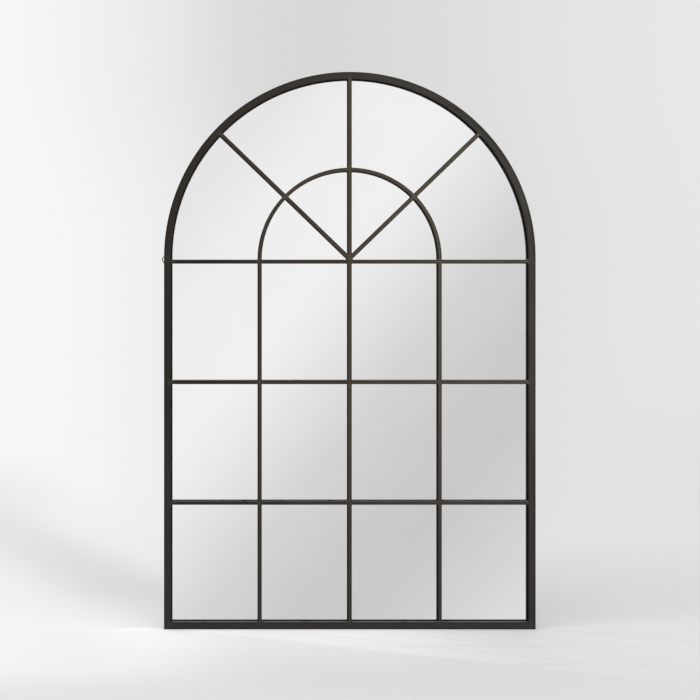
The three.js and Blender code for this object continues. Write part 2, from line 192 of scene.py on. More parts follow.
def mix(amount, first, second):
    """A colour between two colours."""
    wires = [v for v in (amount, first, second) if isinstance(v, Wire)]
    return wires[0].node(
        "ShaderNodeMix", {"data_type": "RGBA"}, {0: amount, 6: first, 7: second}, output=2
    )


def fade(value, start, end):
    """0 up to start, 1 from end, and smooth between."""
    return value.node(
        "ShaderNodeMapRange",
        {"interpolation_type": "SMOOTHSTEP"},
        {"Value": value, "From Min": start, "From Max": end},
    )


def cloud(place, per_metre, detail=3.0, roughness=0.55):
    """Noise from 0 to 1, with about that many blotches in a metre."""
    return place.node(
        "ShaderNodeTexNoise",
        None,
        {"Vector": place, "Scale": per_metre, "Detail": detail, "Roughness": roughness},
    )


def stretched(place, x, y, z):
    """The same places with each direction scaled."""
    return place.node(
        "ShaderNodeVectorMath", {"operation": "MULTIPLY"}, {0: place, 1: (x, y, z)}
    )


def apart(place):
    """The three numbers of a vector."""
    parts = place.node("ShaderNodeSeparateXYZ", None, {"Vector": place})
    return [Wire(place.tree, socket) for socket in parts.socket.node.outputs]


def start_finish(name):
    """A new material, and its object coordinates in metres."""
    material = bpy.data.materials.new(name)
    material.use_nodes = True
    material.node_tree.nodes.clear()
    sheet = Wire(material.node_tree)
    return material, sheet.node("ShaderNodeTexCoord", output="Object")


def mark(place, name):
    """A number that the mesh carries on its points."""
    return place.node("ShaderNodeAttribute", {"attribute_name": name}, output="Fac")


def surface(place, relief, depth, inputs):
    """The main shader with those inputs, over a relief of that depth in metres."""
    bump = place.node(
        "ShaderNodeBump", None, {"Strength": 1.0, "Distance": depth, "Height": relief}
    )
    shader = place.node("ShaderNodeBsdfPrincipled", None, {**inputs, "Normal": bump})
    place.node("ShaderNodeOutputMaterial", None, {"Surface": shader})


print("a mid grey of 128 is", round(tone(128)[0], 3), "in linear light")

# %% [markdown]
# ## The patina
#
# The steel is bare, darkened with a chemical wash and waxed, so it is still a metal. One
# flat dark colour would look like paint, so the wash is built up as it is in a workshop:
# thin in some places and thick in others, dragged along each length in streaks, and
# blotchy. Painted light makes it lighter towards the right and the top, and it is cooler
# and greyer towards the bottom. Four marks that the mesh carries add more. "worn" is
# where an edge was rubbed, "ground" is where a weld was ground, "front" is painted light
# and shade: full colour along the middle of each front face, less at its edges and back,
# and dark on the sides, and "grain" is the place along, across and into each length, so
# that streaks run round the arch as they run up a stile. Up-facing front edges of the
# lower bars and the rail get dust and a painted highlight.

# %% The patina of the steel
PAINTED_SIDE_SHADE_TONE = tone(16, 15, 14)
DUST_AND_HIGHLIGHT_TONE = tone(142, 140, 130)
COOL_TONE = tone(66, 65, 68)
PATINA_RELIEF = 0.00012


def bar_dust_and_highlight(place, grain, height):
    """Dust and a painted highlight near the front edge of up-facing faces, on the lower bars
    and rail.
    """
    facing = place.node("ShaderNodeNewGeometry", output="Normal")
    upward = fade(apart(facing)[2], 0.35, 0.9)
    near_front = fade(apart(grain)[2], -0.005, -0.009)
    return upward * near_front * fade(height, 1.3, 1.2) * fade(cloud(place, 30, 2), 0.1, 0.5)


# The patina, with painted light and shade laid over it.
def patina(name, dark, brown, grey, streak):
    material, place = start_finish(name)
    grain = place.node("ShaderNodeAttribute", {"attribute_name": "grain"}, output="Vector")
    worn, ground, front = (mark(place, label) for label in ("worn", "ground", "front"))
    x, _, z = apart(place)
    wash = cloud(place, 5, detail=2)
    streaks = cloud(stretched(grain, 7, 110, 110), 1)
    blotch = cloud(grain, 45)
    fine = cloud(place, 420)
    grinding = cloud(stretched(place, 260, 900, 900), 1, detail=2)
    # Painted light: the colour is lighter towards the right and the top, over the blotches of
    # the wash.
    wash_and_painted_light = fade(x + 0.5 * (wash - 0.5), -0.8, 0.7) * (0.4 + 0.6 * fade(z, 0.0, 0.7))
    colour = mix(wash_and_painted_light, dark, brown)
    colour = mix(fade(streaks, 0.42, 0.7) * 0.7, colour, streak)
    colour = mix(fade(blotch, 0.5, 0.75) * 0.25, colour, dark)
    # Ground welds and rubbed edges come out greyer.
    colour = mix(ground * fade(blotch + 0.4 * grinding, 0.5, 0.85) * 0.5, colour, grey)
    colour = mix(worn * front * fade(fine + 0.5 * streaks, 0.65, 0.95) * 0.4, colour, grey)
    # Cooler and greyer towards the bottom.
    colour = mix(0.45 * fade(z, 0.8, 0.2), colour, COOL_TONE)
    # Painted shade: the sides of each length, and the edges and back of its faces, go dark.
    colour = mix(0.25 + 0.75 * front, PAINTED_SIDE_SHADE_TONE, colour)
    # Dust, with a painted highlight, on the up-facing front edges.
    dust = bar_dust_and_highlight(place, grain, z)
    surface(
        place,
        0.5 * streaks + 0.25 * blotch + 0.2 * fine + ground * grinding * 0.3,
        PATINA_RELIEF,
        {
            "Base Color": mix(dust * 0.8, colour, DUST_AND_HIGHLIGHT_TONE),
            "Metallic": 0.85 - 0.15 * fade(blotch, 0.5, 0.75) - 0.5 * dust,
            "Roughness": 0.44 + 0.14 * (streaks - 0.5) + 0.1 * (fine - 0.5),
            "Specular Tint": (0.1, 0.1, 0.1, 1),
            "Specular IOR Level": 0.15,
        },
    )
    return material


FRAME_PATINA = patina(
    "frame_patina", tone(54, 50, 46), tone(80, 77, 73), tone(98, 95, 90), tone(62, 57, 52)
)
LEVEL_PATINA = patina(
    "level_patina", tone(46, 40, 34), tone(96, 89, 82), tone(104, 99, 92), tone(66, 58, 48)
)
BAR_PATINA = patina(
    "bar_patina", tone(58, 51, 42), tone(104, 96, 86), tone(112, 107, 98), tone(78, 70, 59)
)
print("patinas:", FRAME_PATINA.name, LEVEL_PATINA.name, BAR_PATINA.name)

# %% [markdown]
# ## Zinc plate, rubber, foam and board
#
# The small fittings on the back are bought in and zinc plated: a pale metal with a faint
# crystal pattern and fine handling scratches. The rings have the same finish, painted
# darker as painted shade, since they hang in the shade behind the frame. The tape is
# closed-cell foam, so its skin has pin-prick pores. The blocks are dull rubber. The backing
# is hardboard, which is pressed from brown fibre, so short noise that is stretched two ways
# gives the fibres.

# %% Finishes of the hidden side


def pebbles(place, per_metre):
    """Rounded cells, which serve as crystals or as pores."""
    return place.node(
        "ShaderNodeTexVoronoi", {"feature": "F1"}, {"Vector": place, "Scale": per_metre}
    )


def zinc(name, pale, light, dark, rubbed):
    material, place = start_finish(name)
    scratches = cloud(stretched(place, 3500, 250, 500), 1, detail=2)
    dull = cloud(place, 90, detail=4)
    colour = mix(fade(pebbles(place, 420), 0.1, 0.8), pale, light)
    colour = mix(fade(dull, 0.5, 0.8) * 0.6, colour, dark)
    colour = mix(mark(place, "worn") * 0.4, colour, rubbed)
    surface(
        place,
        0.6 * scratches + 0.4 * dull,
        0.00006,
        {
            "Base Color": colour,
            "Metallic": 0.95 - 0.25 * fade(dull, 0.55, 0.8),
            "Roughness": 0.3 + 0.25 * fade(dull, 0.4, 0.8) + 0.1 * scratches,
        },
    )
    return material


def soft_black(name, dark, light, pores, depth):
    """Rubber or foam: dark and dull, with so many pores in a metre."""
    material, place = start_finish(name)
    dust = cloud(place, pores / 8, detail=4)
    colour = mix(fade(dust, 0.4, 0.75), dark, light)
    inputs = {"Base Color": colour, "Roughness": 0.78 + 0.15 * dust}
    surface(place, pebbles(place, pores), depth, inputs)
    return material


def hardboard():
    material, place = start_finish("hardboard_finish")
    fibres = cloud(stretched(place, 1500, 1500, 420), 1, detail=4)
    across = cloud(stretched(place, 420, 1500, 1400), 1, detail=4)
    patches = cloud(place, 4, detail=5)
    flecks = cloud(place, 1700, detail=2)
    colour = mix(fade(fibres, 0.35, 0.7), tone(98, 73, 51), tone(122, 92, 66))
    colour = mix(fade(across, 0.5, 0.75) * 0.4, colour, tone(84, 62, 43))
    colour = mix(fade(patches, 0.35, 0.75) * 0.3, colour, tone(122, 97, 73))
    colour = mix(fade(flecks, 0.66, 0.78) * 0.5, colour, tone(150, 121, 90))
    inputs = {"Base Color": colour, "Roughness": 0.62 + 0.2 * fibres}
    surface(place, 0.5 * fibres + 0.5 * across + 0.3 * flecks, 0.0002, inputs)
    return material


ZINC = zinc(
    "bright_zinc", tone(176, 178, 180), tone(196, 197, 196), tone(142, 143, 140), tone(212)
)
# The rings' zinc is darker than the rest: painted shade.
RING_ZINC_PAINTED_SHADE = zinc("ring_zinc_painted_shade", tone(60, 60, 61), tone(78), tone(38, 37, 36), tone(110))
FOAM = soft_black("foam_finish", tone(24, 24, 25), tone(40, 40, 41), 2600.0, 0.0001)
RUBBER = soft_black("setting_rubber", tone(30, 30, 31), tone(52, 51, 50), 1500.0, 0.00005)
BOARD = hardboard()
print("fittings:", [finish.name for finish in (ZINC, RING_ZINC_PAINTED_SHADE, FOAM, RUBBER, BOARD)])

# %% [markdown]
# ## The mirror's three surfaces
#
# A glass mirror is silvered on its back, so what the eye sees lies a little behind the
# glass. Here the silver is a real reflecting surface at that apparent depth, almost
# perfectly smooth. Its edge is ground glass, which looks sea green, and the back of the
# silver is sealed with grey paint.

# %% Silver, ground edge and back paint
DULL_SILVER = (0.908, 0.91, 0.909, 1)
CLEAR_SILVER = (0.92, 0.921, 0.921, 1)


def silvering():
    material, place = start_finish("silvering")
    haze = cloud(place, 5)
    inputs = {
        "Base Color": mix(fade(haze, 0.3, 0.7), DULL_SILVER, CLEAR_SILVER),
        "Metallic": 1.0,
        "Roughness": 0.012 + 0.02 * fade(cloud(place, 700, detail=2), 0.6, 0.85),
    }
    surface(place, haze, 0.000002, inputs)
    return material


def plain_coat(name, noise, depth, first, second, roughness, uneven):
    """One even coat: two tones and a roughness that follow the same noise."""
    material, place = start_finish(name)
    skin = cloud(place, *noise)
    inputs = {"Base Color": mix(skin, first, second), "Roughness": roughness + uneven * skin}
    surface(place, skin, depth, inputs)
    return material


GROUND_EDGE = plain_coat(
    "ground_edge", (1500, 3), 0.00004, tone(92, 122, 112), tone(140, 166, 156), 0.35, 0.2
)
BACK_PAINT = plain_coat(
    "back_paint", (160, 4), 0.00005, tone(96, 102, 106), tone(124, 130, 132), 0.5, 0.15
)
MIRROR_FINISHES = [silvering(), GROUND_EDGE, BACK_PAINT]
print("mirror:", [finish.name for finish in MIRROR_FINISHES])

# %% [markdown]
# ## Making metal from a section and a line
#
# Tube, bar, strip and wire all start as one section that runs along a line, so one
# function makes them all. It places a copy of the section at each station of the line
# and joins neighbours with faces. A rounded corner would shade as a soft pillow if the
# flat beside it had no points, so a resting point lies close to each end of every curve.

# %% Sections


def rounded_section(low_u, high_u, low_v, high_v, corner, steps=4, rest=0.5):
    """A rounded rectangle as (across, deep, worn) points."""
    corners = [
        (high_u - corner, high_v - corner, 0),
        (low_u + corner, high_v - corner, 90),
        (low_u + corner, low_v + corner, 180),
        (high_u - corner, low_v + corner, 270),
    ]
    points = []
    for centre_u, centre_v, first in corners:
        turns = [math.radians(first + 90 * k / steps) for k in range(steps + 1)]
        arc = [
            (centre_u + corner * math.cos(t), centre_v + corner * math.sin(t), 1.0)
            for t in turns
        ]
        start, end = turns[0], turns[-1]
        before = (arc[0][0] + rest * math.sin(start), arc[0][1] - rest * math.cos(start), 0.0)
        after = (arc[-1][0] - rest * math.sin(end), arc[-1][1] + rest * math.cos(end), 0.0)
        points += [before, *arc, after]
    # One more point in the middle of each flat carries its lighter tone.
    full = []
    for number, point in enumerate(points):
        full.append(point)
        if (number + 1) % (steps + 3) == 0:
            following = points[(number + 1) % len(points)]
            full.append(((point[0] + following[0]) / 2, (point[1] + following[1]) / 2, 0.0))
    return full


def round_section(radius, count):
    turns = [2 * math.pi * k / count for k in range(count)]
    return [(radius * math.cos(t), radius * math.sin(t), 0.0) for t in turns]


TUBE_SECTION = rounded_section(-TUBE / 2, TUBE / 2, FRONT, BACK, TUBE_CORNER)
BAR_SECTION = rounded_section(-BAR / 2, BAR / 2, FRONT, BAR_BACK, BAR_CORNER)
print("points round a tube:", len(TUBE_SECTION))

# %% A blank, which collects the faces of one piece


class Blank:
    """Points in millimetres, with a worn mark and a grain place each, and faces."""

    def __init__(self):
        self.points = []
        self.worn = []
        self.grain = []
        self.faces = []
        self.finishes = []

    def add(self, points, worn=None, grain=None):
        """Adds points and returns their numbers."""
        first = len(self.points)
        self.points += [tuple(p) for p in points]
        self.worn += list(worn) if worn else [0.0] * len(points)
        self.grain += list(grain) if grain else [(p[0], 0.0, p[1]) for p in points]
        return list(range(first, len(self.points)))

    def face(self, corners, finish=0):
        self.faces.append(tuple(corners))
        self.finishes.append(finish)

    def join(self, rings, first=0, sides=0, last=0):
        """Joins rings in their order and closes both ends, each with its own finish."""
        for ring, following in zip(rings, rings[1:]):
            for k in range(len(ring)):
                after = (k + 1) % len(ring)
                self.face((ring[k], ring[after], following[after], following[k]), sides)
        self.face(rings[0][::-1], first)
        self.face(rings[-1], last)

    def sweep(self, stations):
        """Joins rings along a line. A station is its section, place, across and deep."""
        rings = []
        run = 0.0
        last_place = stations[0][1]
        for section, place, across, deep in stations:
            run += (place - last_place).length
            last_place = place
            points = [place + across * u + deep * v for u, v, _ in section]
            # The grain runs along the line, however the line is bent.
            grain = [(run, u, v) for u, v, _ in section]
            rings.append(self.add(points, [worn for _, _, worn in section], grain))
        self.join(rings)


RIGHT = Vector((1, 0, 0))
DEEP = Vector((0, 1, 0))
UP = Vector((0, 0, 1))
trial = Blank()
trial.sweep([(TUBE_SECTION, UP * height, RIGHT, DEEP) for height in (0, 100)])
print("faces of a short length of tube:", len(trial.faces))

# %% From a blank to a piece
WELD_REACH = 16.0
# Painted light and shade of the front mark: how deep a face counts as front, how much its edges
# darken, how much light its back keeps.
FRONT_REACH = 0.3
EDGE_SHADE = 0.35
BACK_SHADE = 0.6
weld_places = []


def ground_marks(points):
    """How near each point is to a weld: 1 at its middle, 0 from its reach on."""
    flat = np.array([(x, z) for x, _, z in points])
    gaps = [np.hypot(*(flat - weld).T) for weld in weld_places]
    return np.clip(1 - np.min(gaps, axis=0) / WELD_REACH, 0, 1)


def painted_light_and_shade_marks(grain):
    """Painted light and shade: 1 along a front face's middle, less at its edges and back, 0 on
    sides.
    """
    _, across, depth = np.array(grain).T
    half_width = max(1.0, np.abs(across).max())
    facing = np.clip(1 - (depth - FRONT) / FRONT_REACH, 0, 1)
    turned_away = np.clip(1 - (BACK - depth) / FRONT_REACH, 0, 1)
    return (facing + BACK_SHADE * turned_away) * (1 - EDGE_SHADE * np.abs(across) / half_width)


def set_marks(mesh, blank, is_steel):
    """Writes on the mesh the marks that its finish reads."""
    marks = {"worn": blank.worn}
    if is_steel:
        marks["ground"] = ground_marks(blank.points)
        marks["front"] = painted_light_and_shade_marks(blank.grain)
        grain = np.array(blank.grain, np.float32) * MILLIMETRE
        layer = mesh.attributes.new("grain", "FLOAT_VECTOR", "POINT")
        layer.data.foreach_set("vector", grain.ravel())
    for label, values in marks.items():
        layer = mesh.attributes.new(label, "FLOAT", "POINT")
        layer.data.foreach_set("value", np.array(values, np.float32))


def face_outwards(mesh):
    work = bmesh.new()
    work.from_mesh(mesh)
    bmesh.ops.recalc_face_normals(work, faces=work.faces)
    work.to_mesh(mesh)
    work.free()


def add_object(name, data):
    """A new object in the scene, with that mesh, lamp or camera."""
    made = bpy.data.objects.new(name, data)
    bpy.context.scene.collection.objects.link(made)
    return made


def make_piece(name, blank, materials, slot, nodes, body="root", crease=40):
    """Makes the mesh in metres, turns its faces outwards and ties it to the frame."""
    mesh = bpy.data.meshes.new(name)
    mesh.from_pydata([Vector(p) * MILLIMETRE for p in blank.points], [], blank.faces)
    for material in materials:
        mesh.materials.append(material)
    mesh.polygons.foreach_set("material_index", blank.finishes)
    set_marks(mesh, blank, slot == "patinated_steel")
    face_outwards(mesh)
    mesh.shade_smooth()
    mesh.set_sharp_from_angle(angle=math.radians(crease))
    piece = add_object(name, mesh)
    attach(piece, body)
    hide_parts(*nodes)


print("a weld is ground out to", WELD_REACH, "mm from its middle")

# %% [markdown]
# ## Where the welds are
#
# Every crossing of the grid is welded and then ground flush. The list of their middles
# comes before the metal, because each piece marks its own points that lie near one.

# %% Weld places


def heading(degrees):
    """A direction in the plane of the frame, and 0 is to the right."""
    turn = math.radians(degrees)
    return Vector((math.cos(turn), 0, math.sin(turn)))


def at(x, z):
    return Vector((x, 0, z))


def spoke_reach(degrees, radius, centre_height, aside=0.0):
    """How far along a spoke, or along a line beside it, a circle round the middle is."""
    along = heading(degrees)
    start = at(*HUB) + heading(degrees - 90) * aside - at(0, centre_height)
    part = start.dot(along)
    return -part + math.sqrt(part * part - start.length_squared + radius * radius)


weld_places += [(x, z) for x in (-INSIDE, *COLUMN_PLACES, INSIDE) for z in ROW_HEIGHTS]
weld_places += [(x, TUBE) for x in COLUMN_PLACES]
weld_places += [(side * TUBE_MIDDLE, z) for z in (TUBE / 2, SPRINGING) for side in (-1, 1)]
for angle in SPOKE_ANGLES.values():
    for radius, height in ((HOOP_RADIUS, SPRING_TOP), (INSIDE, SPRINGING)):
        spot = at(*HUB) + heading(angle) * spoke_reach(angle, radius, height)
        weld_places.append((spot.x, spot.z))
weld_places.append(HUB)
print("welds:", len(weld_places))

# %% [markdown]
# ## The outer frame
#
# Two straight stiles and a rail of 25.4 mm square tube meet in mitres at the foot, and a
# fourth length is bent to a half circle. The pieces could be boxes with a bevel, but then
# the bend would need its own method. As sweeps they share one section, so the corners run
# on from piece to piece as they do after grinding.

# %% Stations along straight and bent lengths
STATION_STEP = 10.0
ARCH_STEPS = 144


def straight(section, start, end, across, step=STATION_STEP):
    """Evenly spaced stations from start to end."""
    count = max(1, round((end - start).length / step))
    return [(section, start.lerp(end, k / count), across, DEEP) for k in range(count + 1)]


def bent(section, radius, centre_height, steps):
    """Stations round a half circle, from the right to the left."""
    stations = []
    for k in range(steps + 1):
        out = heading(180 * k / steps)
        stations.append((section, at(0, centre_height) + out * radius, out, DEEP))
    return stations


def mitre(side, across, other):
    """The station at a foot corner, where a stile and the rail are cut on the slant."""
    return (TUBE_SECTION, at(side * TUBE_MIDDLE, TUBE / 2), across - side * other, DEEP)


def steel_length(name, stations, node, finish):
    """One length of tube or bar."""
    blank = Blank()
    blank.sweep(stations)
    make_piece(name, blank, [finish], "patinated_steel", [node])


print("steps round the arch:", ARCH_STEPS)

# %% Stiles, rail and arch
MITRE_END = 1.0
for side, name in ((-1, "left_stile"), (1, "right_stile")):
    x = side * TUBE_MIDDLE
    run = straight(TUBE_SECTION, at(x, TUBE + MITRE_END), at(x, SPRINGING), RIGHT)
    steel_length(f"{name}_tube", [mitre(side, RIGHT, UP), *run], name, FRAME_PATINA)

rail_end = INSIDE - MITRE_END
run = straight(TUBE_SECTION, at(-rail_end, TUBE / 2), at(rail_end, TUBE / 2), UP)
rail = [mitre(-1, UP, RIGHT), *run, mitre(1, UP, RIGHT)]
steel_length("bottom_rail_tube", rail, "bottom_rail", FRAME_PATINA)

arch = bent(TUBE_SECTION, TUBE_MIDDLE, SPRINGING, ARCH_STEPS)
steel_length("arch_head_tube", arch, "arch_head", FRAME_PATINA)
print("outer frame: 4 lengths of tube")

# %% [markdown]
# ## The bars
#
# The level bars run through from stile to stile, and the uprights are cut between them.
# A half-round bar stands on the spring bar, and three spokes fan out from its foot. The
# ends of each bar run a little into their neighbour, as far as its rounded edge goes, so
# that the flats meet without a groove, as weld metal does once it is ground.

# %% Level bars and uprights
into_stile = INSIDE + TUBE_CORNER
for name, z in zip(("lower_bar", "middle_bar", "spring_bar"), ROW_HEIGHTS):
    run = straight(BAR_SECTION, at(-into_stile, z), at(into_stile, z), UP)
    steel_length(f"{name}_steel", run, name, LEVEL_PATINA)

into_bar = BAR / 2 - BAR_CORNER
feet = [TUBE - TUBE_CORNER, ROW_HEIGHTS[0] + into_bar, ROW_HEIGHTS[1] + into_bar]
heads = [z - into_bar for z in ROW_HEIGHTS]
for column, x in zip(("left", "centre", "right"), COLUMN_PLACES):
    for row, foot, head in zip(("lower", "middle", "upper"), feet, heads):
        run = straight(BAR_SECTION, at(x, foot), at(x, head), RIGHT)
        name = f"upright_{column}_{row}"
        steel_length(f"{name}_steel", run, name, BAR_PATINA)
print("bars: 3 level, 9 upright")

# %% Inner arch
HOOP_STEPS = 96
hoop_foot = SPRING_TOP - BAR_CORNER
hoop = bent(BAR_SECTION, HOOP_RADIUS, SPRING_TOP, HOOP_STEPS)
first_foot = (BAR_SECTION, at(HOOP_RADIUS, hoop_foot), RIGHT, DEEP)
last_foot = (BAR_SECTION, at(-HOOP_RADIUS, hoop_foot), -RIGHT, DEEP)
steel_length("inner_arch_steel", [first_foot, *hoop, last_foot], "inner_arch", BAR_PATINA)
print("inner arch radius:", round(HOOP_RADIUS, 2))

# %% Spokes


def leaning_spoke(along, aside, end):
    """The inner length of a leaning spoke, cut upright at the side of the centre spoke."""
    cut_reach = into_bar / abs(along.x)
    shear = UP * (aside.z / abs(aside.z) / abs(along.x))
    cut = (BAR_SECTION, at(*HUB) + along * cut_reach, shear, DEEP)
    square = at(*HUB) + along * (cut_reach + BAR)
    return [cut, *straight(BAR_SECTION, square, end, aside)]


for side, angle in SPOKE_ANGLES.items():
    along, aside = heading(angle), heading(angle - 90)
    reaches = [
        spoke_reach(angle, HOOP_RADIUS - BAR / 2, SPRING_TOP) + BAR_CORNER,
        spoke_reach(angle, HOOP_RADIUS + BAR / 2, SPRING_TOP) - BAR_CORNER,
        spoke_reach(angle, INSIDE, SPRINGING) + TUBE_CORNER,
    ]
    to_hoop, from_hoop, to_head = (at(*HUB) + along * reach for reach in reaches)
    if side == "centre":
        inner = straight(BAR_SECTION, at(0, hoop_foot), to_hoop, aside)
    else:
        inner = leaning_spoke(along, aside, to_hoop)
    lengths = {"inner": inner, "outer": straight(BAR_SECTION, from_hoop, to_head, aside)}
    for part, stations in lengths.items():
        name = f"spoke_{side}_{part}"
        steel_length(f"{name}_steel", stations, name, BAR_PATINA)
print("spokes: 3, each in 2 lengths")

# %% [markdown]
# ## Weld metal in the corners
#
# Grinding leaves a small hollow curve of weld in each inside corner. It is only two or
# three millimetres, but without it every corner looks like two boxes pushed together.
# Each one is a little prism: a corner, two points along the edges and a hollow arc.

# %% Corner welds
WELD_LEG = 2.4
ACUTE_LEG = 5.0
WELD_SUNK = 2.4
WELD_LEVELS = [0.03, 0.3, 0.8, 1.3, 1.8, BAR - 0.2]


def edge_drop(level):
    """How far the rounded edge of a bar draws back at a depth behind its face."""
    rest = max(0.0, BAR_CORNER - level)
    return BAR_CORNER - math.sqrt(BAR_CORNER**2 - rest**2)


def add_corner_weld(blank, corner, first, second, leg):
    """Fills the corner between two edges, which leave it at two angles in degrees."""
    a, b = heading(first), heading(second)
    cosine = a.dot(b)
    sine = math.sqrt(1 - cosine * cosine)
    centre = corner + (a + b) * (leg / (1 + cosine))
    start, end = corner + a * leg, corner + b * leg
    radius = (start - centre).length
    hollow = [
        centre + ((start - centre).lerp(end - centre, k / 4)).normalized() * radius
        for k in range(5)
    ]
    into_a = (b - a * cosine) * (WELD_SUNK / sine)
    into_b = (a - b * cosine) * (WELD_SUNK / sine)
    hidden = [end - into_b, corner - (a + b) * (WELD_SUNK / sine), start - into_a]
    rings = []
    for level in WELD_LEVELS:
        back = (a + b) * (edge_drop(level) / sine)
        points = [p - back for p in hollow] + hidden
        rings.append(blank.add([p + DEEP * (FRONT + level) for p in points]))
    blank.join(rings)


welds = Blank()
half = BAR / 2
for z in ROW_HEIGHTS:
    for x in COLUMN_PLACES:
        above = z < ROW_HEIGHTS[2] or x != 0
        for side, up in ((1, 1), (-1, 1), (-1, -1), (1, -1)):
            if up < 0 or above:
                corner = at(x + side * half, z + up * half)
                add_corner_weld(welds, corner, 90 - 90 * side, 90 * up, WELD_LEG)
    for side, up in ((-1, -1), (-1, 1), (1, -1), (1, 1)):
        corner = at(side * INSIDE, z + up * half)
        add_corner_weld(welds, corner, 90 + 90 * side, 90 * up, WELD_LEG)
for x in COLUMN_PLACES:
    for side in (-1, 1):
        add_corner_weld(welds, at(x + side * half, TUBE), 90 - 90 * side, 90, WELD_LEG)
print("welds on straight bars, faces:", len(welds.faces))

# %% Corner welds of the fan


def beside(angle, side, radius, centre_height):
    """The corner where one edge of a spoke meets a circle."""
    reach = spoke_reach(angle, radius, centre_height, side * half)
    return at(*HUB) + heading(angle - 90) * (side * half) + heading(angle) * reach


for angle in SPOKE_ANGLES.values():
    meetings = [
        (HOOP_RADIUS - half, SPRING_TOP, angle + 180),
        (HOOP_RADIUS + half, SPRING_TOP, angle),
        (INSIDE, SPRINGING, angle + 180),
    ]
    for side in (-1, 1):
        for radius, height, away in meetings:
            corner = beside(angle, side, radius, height)
            add_corner_weld(welds, corner, angle - 90 * side, away, WELD_LEG)

lean = math.radians(SPOKE_LEAN)
rise = half / math.cos(lean)
upper_z = HUB[1] + half * math.tan(lean) + rise
lower_x = (rise - SPOKE_RISE) / math.tan(lean)
for side in (1, -1):
    outwards = 90 - 90 * side
    spoke = 90 - side * (90 - SPOKE_LEAN)
    add_corner_weld(welds, at(side * half, upper_z), 90, spoke, ACUTE_LEG)
    add_corner_weld(welds, at(side * lower_x, SPRING_TOP), outwards, spoke, ACUTE_LEG)
make_piece("corner_welds", welds, [BAR_PATINA], "patinated_steel", [])
print("all corner welds, faces:", len(welds.faces))

# %% [markdown]
# ## Foam tape, mirror, blocks and board
#
# Foam tape on the back of each bar keeps the glass off the steel, and a foam strip fills
# the gap round its edge. The glass stands on two rubber blocks, and a hardboard back closes
# the frame. Tape and strip are sweeps, as the bars are. Sheet pieces are one outline drawn
# several times: a little smaller at the faces than in the middle gives the softened edge.

# %% Foam tape
TAPE_WIDTH = 8.0
TAPE = 1.0
TAPE_END = 2.0
LONG_STEP = 120.0
TAPE_SECTION = rounded_section(
    -TAPE_WIDTH / 2, TAPE_WIDTH / 2, BAR_BACK, BAR_BACK + TAPE, 0.3, steps=2, rest=0.2
)
tape = Blank()
tape_end = INSIDE - TAPE_END
tape_half = TAPE_WIDTH / 2
for z in ROW_HEIGHTS:
    tape.sweep(straight(TAPE_SECTION, at(-tape_end, z), at(tape_end, z), UP, LONG_STEP))
tape_feet = [TUBE + TAPE_END, ROW_HEIGHTS[0] + tape_half, ROW_HEIGHTS[1] + tape_half]
for x in COLUMN_PLACES:
    for foot, head in zip(tape_feet, ROW_HEIGHTS):
        ends = [at(x, foot), at(x, head - tape_half)]
        tape.sweep(straight(TAPE_SECTION, *ends, RIGHT, LONG_STEP))
hoop_tape = bent(TAPE_SECTION, HOOP_RADIUS, SPRING_TOP, HOOP_STEPS)
tape_leg = ROW_HEIGHTS[2] + tape_half
right_leg = (TAPE_SECTION, at(HOOP_RADIUS, tape_leg), RIGHT, DEEP)
left_leg = (TAPE_SECTION, at(-HOOP_RADIUS, tape_leg), -RIGHT, DEEP)
tape.sweep([right_leg, *hoop_tape, left_leg])
for angle in SPOKE_ANGLES.values():
    reaches = [
        3 * tape_half,
        spoke_reach(angle, HOOP_RADIUS - tape_half, SPRING_TOP),
        spoke_reach(angle, HOOP_RADIUS + tape_half, SPRING_TOP),
        spoke_reach(angle, INSIDE, SPRINGING) - 2 * TAPE_END,
    ]
    places = [at(*HUB) + heading(angle) * reach for reach in reaches]
    for ends in (places[:2], places[2:]):
        tape.sweep(straight(TAPE_SECTION, *ends, heading(angle - 90), LONG_STEP))
make_piece("foam_tape", tape, [FOAM], "foam_tape", ["glazing_tape"])
print("tape faces:", len(tape.faces))

# %% Foam strip round the edge of the glass
EDGE_GAP = 2.0
STRIP_WIDTH = 1.7
STRIP_FRONT = BAR_BACK + CLEARANCE
STRIP_BACK = 4.6
STRIP_SECTION = rounded_section(
    -STRIP_WIDTH / 2, STRIP_WIDTH / 2, STRIP_FRONT, STRIP_BACK, 0.25, steps=2, rest=0.1
)
GLASS_FOOT = TUBE + EDGE_GAP
strip_middle = INSIDE - EDGE_GAP / 2
foot, top = at(strip_middle, GLASS_FOOT), at(strip_middle, SPRINGING)
right_side = straight(STRIP_SECTION, foot, top, RIGHT, LONG_STEP)
foot, top = at(-strip_middle, GLASS_FOOT), at(-strip_middle, SPRINGING)
left_side = straight(STRIP_SECTION, top, foot, -RIGHT, LONG_STEP)
round_head = bent(STRIP_SECTION, strip_middle, SPRINGING, ARCH_STEPS)
edge_strip = Blank()
edge_strip.sweep([*right_side[:-1], *round_head, *left_side[1:]])

# Along the foot it stops on each side of the two setting blocks.
strip_edge = strip_middle + STRIP_WIDTH / 2
blocks = [span(f"setting_block_{side}") for side in ("left", "right")]
stops = [-strip_edge, *(corner.x for corners in blocks for corner in corners), strip_edge]
foot_z = TUBE + EDGE_GAP / 2
for start, end in zip(stops[::2], stops[1::2]):
    ends = [at(start + CLEARANCE, foot_z), at(end - CLEARANCE, foot_z)]
    edge_strip.sweep(straight(STRIP_SECTION, *ends, UP, LONG_STEP))
make_piece("edge_strip", edge_strip, [FOAM], "foam_tape", [])
print("edge strip faces:", len(edge_strip.faces))

